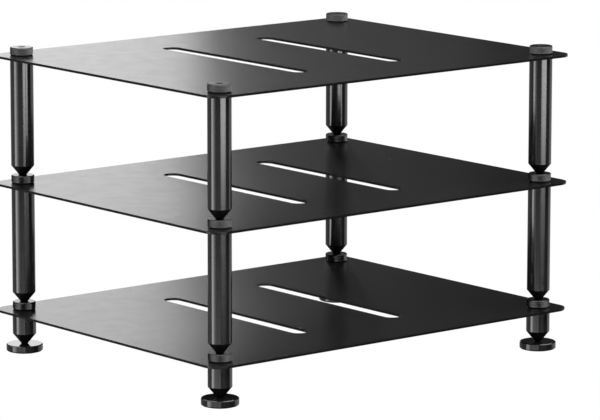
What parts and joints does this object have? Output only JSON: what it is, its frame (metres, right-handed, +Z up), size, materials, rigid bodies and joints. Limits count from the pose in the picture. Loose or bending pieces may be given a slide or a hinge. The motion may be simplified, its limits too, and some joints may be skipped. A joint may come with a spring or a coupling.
{
  "type": "desktop audio equipment rack",
  "caption": "Tiered black metal rack for desktop audio gear: slotted shelves on round posts with cones, knurled nuts and foot discs.",
  "frame": {"origin": "on the surface the rack stands on, under the middle of the shelves", "axes": "+X along the shelves' width, +Y to the back, +Z up"},
  "size_m": [0.25, 0.2, 0.1692],
  "materials": {
    "shelf_black": "satin black coat on steel sheet",
    "column_black": "gloss black anodised bar",
    "cone_black": "black anodised, turned",
    "nut_knurled": "black anodised, diamond knurl",
    "stud_steel": "plain",
    "disc_black": "polished black anodised",
    "pad_rubber": "matt"
  },
  "bodies": {
    "bottom_tier": {"shelf_bottom": "shelf_black", "stud_bottom_front_left": "stud_steel", "leg_front_left": "column_black", "stud_bottom_front_right": "stud_steel", "leg_front_right": "column_black", "stud_bottom_back_left": "stud_steel", "leg_back_left": "column_black", "stud_bottom_back_right": "stud_steel", "leg_back_right": "column_black"},
    "middle_tier": {"shelf_middle": "shelf_black", "stud_middle_front_left": "stud_steel", "post_lower_front_left": "column_black", "spike_lower_front_left": "cone_black", "stud_middle_front_right": "stud_steel", "post_lower_front_right": "column_black", "spike_lower_front_right": "cone_black", "stud_middle_back_left": "stud_steel", "post_lower_back_left": "column_black", "spike_lower_back_left": "cone_black", "stud_middle_back_right": "stud_steel", "post_lower_back_right": "column_black", "spike_lower_back_right": "cone_black"},
    "top_tier": {"shelf_top": "shelf_black", "stud_top_front_left": "stud_steel", "post_upper_front_left": "column_black", "spike_upper_front_left": "cone_black", "stud_top_front_right": "stud_steel", "post_upper_front_right": "column_black", "spike_upper_front_right": "cone_black", "stud_top_back_left": "stud_steel", "post_upper_back_left": "column_black", "spike_upper_back_left": "cone_black", "stud_top_back_right": "stud_steel", "post_upper_back_right": "column_black", "spike_upper_back_right": "cone_black"},
    "foot_front_left": {"foot_disc_front_left": "disc_black", "foot_pad_front_left": "pad_rubber"},
    "levelling_spike_front_left": {"spike_leg_front_left": "cone_black"},
    "foot_front_right": {"foot_disc_front_right": "disc_black", "foot_pad_front_right": "pad_rubber"},
    "levelling_spike_front_right": {"spike_leg_front_right": "cone_black"},
    "foot_back_left": {"foot_disc_back_left": "disc_black", "foot_pad_back_left": "pad_rubber"},
    "levelling_spike_back_left": {"spike_leg_back_left": "cone_black"},
    "foot_back_right": {"foot_disc_back_right": "disc_black", "foot_pad_back_right": "pad_rubber"},
    "levelling_spike_back_right": {"spike_leg_back_right": "cone_black"},
    "knurled_nut_bottom_front_left": {"nut_bottom_front_left": "nut_knurled"},
    "knurled_nut_bottom_front_right": {"nut_bottom_front_right": "nut_knurled"},
    "knurled_nut_bottom_back_left": {"nut_bottom_back_left": "nut_knurled"},
    "knurled_nut_bottom_back_right": {"nut_bottom_back_right": "nut_knurled"},
    "knurled_nut_middle_front_left": {"nut_middle_front_left": "nut_knurled"},
    "knurled_nut_middle_front_right": {"nut_middle_front_right": "nut_knurled"},
    "knurled_nut_middle_back_left": {"nut_middle_back_left": "nut_knurled"},
    "knurled_nut_middle_back_right": {"nut_middle_back_right": "nut_knurled"},
    "knurled_nut_top_front_left": {"nut_top_front_left": "nut_knurled"},
    "knurled_nut_top_front_right": {"nut_top_front_right": "nut_knurled"},
    "knurled_nut_top_back_left": {"nut_top_back_left": "nut_knurled"},
    "knurled_nut_top_back_right": {"nut_top_back_right": "nut_knurled"}
  },
  "joints": [
    {"name": "middle_tier_lift", "type": "slide", "parent": "bottom_tier", "child": "middle_tier", "axis": [0, 0, 1], "range_m": [0, 0.04]},
    {"name": "top_tier_lift", "type": "slide", "parent": "middle_tier", "child": "top_tier", "axis": [0, 0, 1], "range_m": [0, 0.04]},
    {"name": "foot_drop_front_left", "type": "slide", "parent": "bottom_tier", "child": "foot_front_left", "axis": [0, 0, -1], "range_m": [0, 0.0028]},
    {"name": "spike_turn_front_left", "type": "hinge", "parent": "foot_front_left", "child": "levelling_spike_front_left", "pos_m": [-0.112, -0.087, 0.0101], "axis": [0, 0, -1], "range_deg": [0, 1440]},
    {"name": "foot_drop_front_right", "type": "slide", "parent": "bottom_tier", "child": "foot_front_right", "axis": [0, 0, -1], "range_m": [0, 0.0028]},
    {"name": "spike_turn_front_right", "type": "hinge", "parent": "foot_front_right", "child": "levelling_spike_front_right", "pos_m": [0.112, -0.087, 0.0101], "axis": [0, 0, -1], "range_deg": [0, 1440]},
    {"name": "foot_drop_back_left", "type": "slide", "parent": "bottom_tier", "child": "foot_back_left", "axis": [0, 0, -1], "range_m": [0, 0.0028]},
    {"name": "spike_turn_back_left", "type": "hinge", "parent": "foot_back_left", "child": "levelling_spike_back_left", "pos_m": [-0.112, 0.087, 0.0101], "axis": [0, 0, -1], "range_deg": [0, 1440]},
    {"name": "foot_drop_back_right", "type": "slide", "parent": "bottom_tier", "child": "foot_back_right", "axis": [0, 0, -1], "range_m": [0, 0.0028]},
    {"name": "spike_turn_back_right", "type": "hinge", "parent": "foot_back_right", "child": "levelling_spike_back_right", "pos_m": [0.112, 0.087, 0.0101], "axis": [0, 0, -1], "range_deg": [0, 1440]},
    {"name": "nut_turn_bottom_front_left", "type": "hinge", "parent": "bottom_tier", "child": "knurled_nut_bottom_front_left", "pos_m": [-0.112, -0.087, 0.02585], "axis": [0, 0, 1], "range_deg": [0, 1080]},
    {"name": "nut_turn_bottom_front_right", "type": "hinge", "parent": "bottom_tier", "child": "knurled_nut_bottom_front_right", "pos_m": [0.112, -0.087, 0.02585], "axis": [0, 0, 1], "range_deg": [0, 1080]},
    {"name": "nut_turn_bottom_back_left", "type": "hinge", "parent": "bottom_tier", "child": "knurled_nut_bottom_back_left", "pos_m": [-0.112, 0.087, 0.02585], "axis": [0, 0, 1], "range_deg": [0, 1080]},
    {"name": "nut_turn_bottom_back_right", "type": "hinge", "parent": "bottom_tier", "child": "knurled_nut_bottom_back_right", "pos_m": [0.112, 0.087, 0.02585], "axis": [0, 0, 1], "range_deg": [0, 1080]},
    {"name": "nut_turn_middle_front_left", "type": "hinge", "parent": "middle_tier", "child": "knurled_nut_middle_front_left", "pos_m": [-0.112, -0.087, 0.09645], "axis": [0, 0, 1], "range_deg": [0, 1080]},
    {"name": "nut_turn_middle_front_right", "type": "hinge", "parent": "middle_tier", "child": "knurled_nut_middle_front_right", "pos_m": [0.112, -0.087, 0.09645], "axis": [0, 0, 1], "range_deg": [0, 1080]},
    {"name": "nut_turn_middle_back_left", "type": "hinge", "parent": "middle_tier", "child": "knurled_nut_middle_back_left", "pos_m": [-0.112, 0.087, 0.09645], "axis": [0, 0, 1], "range_deg": [0, 1080]},
    {"name": "nut_turn_middle_back_right", "type": "hinge", "parent": "middle_tier", "child": "knurled_nut_middle_back_right", "pos_m": [0.112, 0.087, 0.09645], "axis": [0, 0, 1], "range_deg": [0, 1080]},
    {"name": "nut_turn_top_front_left", "type": "hinge", "parent": "top_tier", "child": "knurled_nut_top_front_left", "pos_m": [-0.112, -0.087, 0.16705], "axis": [0, 0, 1], "range_deg": [0, 1080]},
    {"name": "nut_turn_top_front_right", "type": "hinge", "parent": "top_tier", "child": "knurled_nut_top_front_right", "pos_m": [0.112, -0.087, 0.16705], "axis": [0, 0, 1], "range_deg": [0, 1080]},
    {"name": "nut_turn_top_back_left", "type": "hinge", "parent": "top_tier", "child": "knurled_nut_top_back_left", "pos_m": [-0.112, 0.087, 0.16705], "axis": [0, 0, 1], "range_deg": [0, 1080]},
    {"name": "nut_turn_top_back_right", "type": "hinge", "parent": "top_tier", "child": "knurled_nut_top_back_right", "pos_m": [0.112, 0.087, 0.16705], "axis": [0, 0, 1], "range_deg": [0, 1080]}
  ],
  "couplings": [
    {"joint": "spike_turn_front_left", "follows": "foot_drop_front_left", "rad_per_m": 8975.9},
    {"joint": "spike_turn_front_right", "follows": "foot_drop_front_right", "rad_per_m": 8975.9},
    {"joint": "spike_turn_back_left", "follows": "foot_drop_back_left", "rad_per_m": 8975.9},
    {"joint": "spike_turn_back_right", "follows": "foot_drop_back_right", "rad_per_m": 8975.9}
  ]
}
